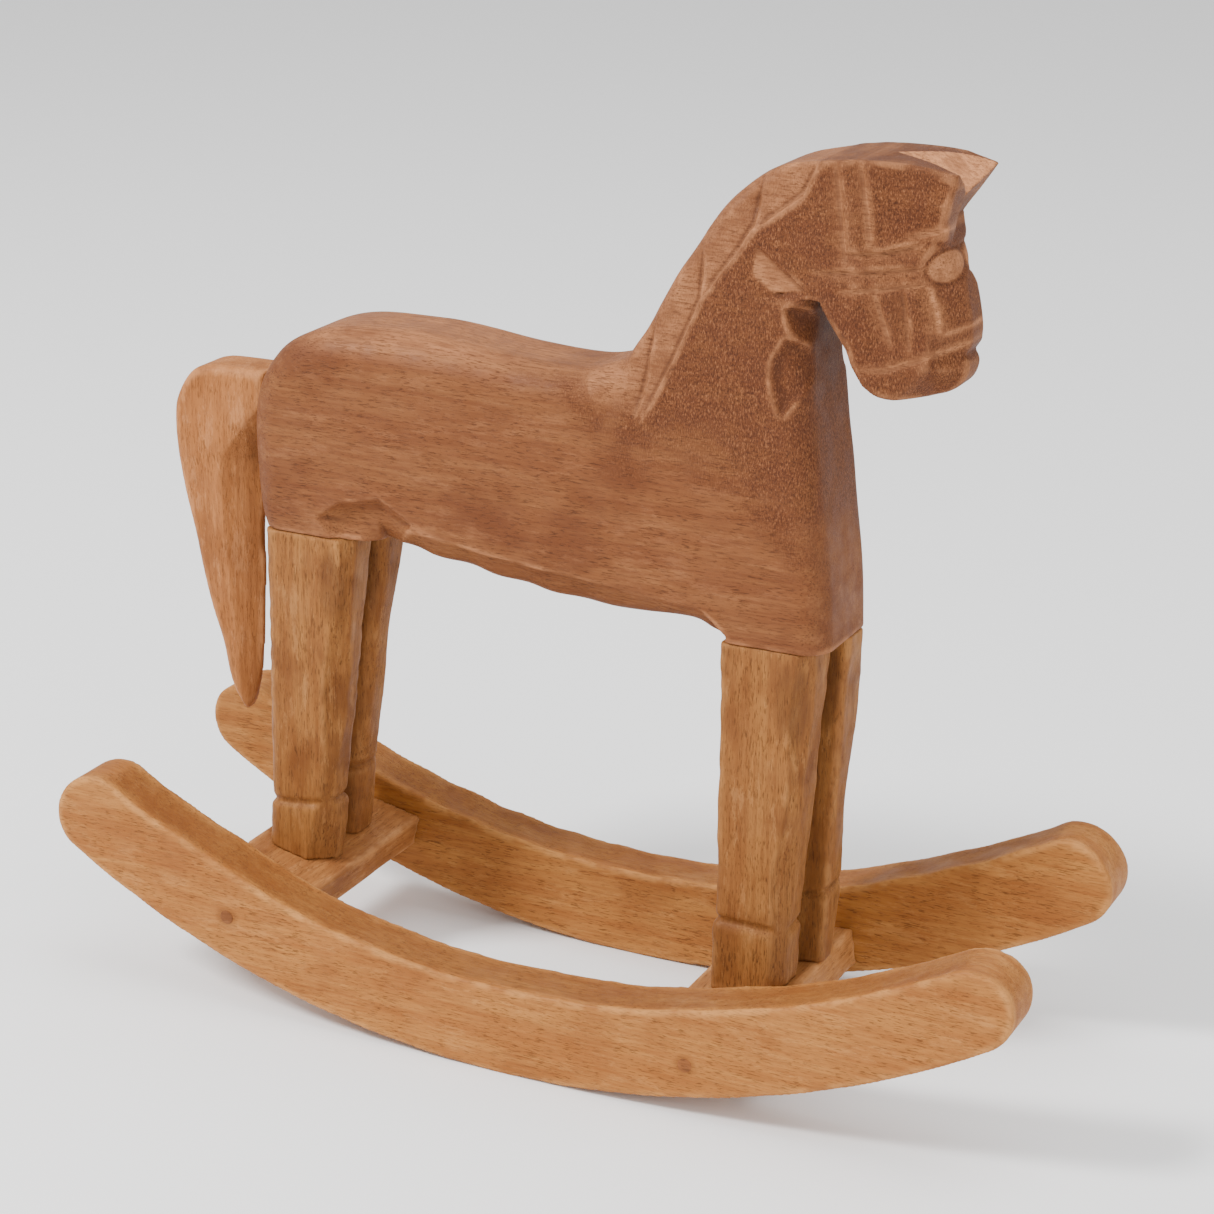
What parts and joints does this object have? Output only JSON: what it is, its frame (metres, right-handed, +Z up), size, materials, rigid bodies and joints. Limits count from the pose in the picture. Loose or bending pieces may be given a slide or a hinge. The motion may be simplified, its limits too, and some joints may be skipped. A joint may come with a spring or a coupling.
{
  "type": "rocking horse",
  "caption": "Small hand-carved wooden rocking horse: one carved torso and head on tapered legs, pinned tail, cross boards and two curved rockers.",
  "frame": {"origin": "on the floor, under the middle of the pair of rockers", "axes": "+X forward towards the head, +Y towards the horse's left, +Z up"},
  "size_m": [0.316, 0.113, 0.2772],
  "materials": {
    "body_wood": "waxed, satin",
    "leg_wood": "waxed, satin",
    "rocker_wood": "waxed, satin",
    "dowel_wood": "bare",
    "screw_steel": "zinc plated",
    "filler": "wood filler, waxed over"
  },
  "bodies": {
    "root": {"body": "body_wood", "tail": "leg_wood", "right_rear_leg": "leg_wood", "left_rear_leg": "leg_wood", "right_front_leg": "leg_wood", "left_front_leg": "leg_wood", "right_rocker": "rocker_wood", "left_rocker": "rocker_wood", "rear_cross_board": "rocker_wood", "front_cross_board": "rocker_wood", "right_rear_leg_dowel": "dowel_wood", "left_rear_leg_dowel": "dowel_wood", "right_front_leg_dowel": "dowel_wood", "left_front_leg_dowel": "dowel_wood", "tail_dowel": "dowel_wood", "right_rear_hoof_screw": "screw_steel", "left_rear_hoof_screw": "screw_steel", "right_front_hoof_screw": "screw_steel", "left_front_hoof_screw": "screw_steel", "right_rear_rocker_nail": "screw_steel", "left_rear_rocker_nail": "screw_steel", "right_front_rocker_nail": "screw_steel", "left_front_rocker_nail": "screw_steel", "right_rear_nail_filler": "filler", "left_rear_nail_filler": "filler", "right_front_nail_filler": "filler", "left_front_nail_filler": "filler"}
  },
  "joints": []
}
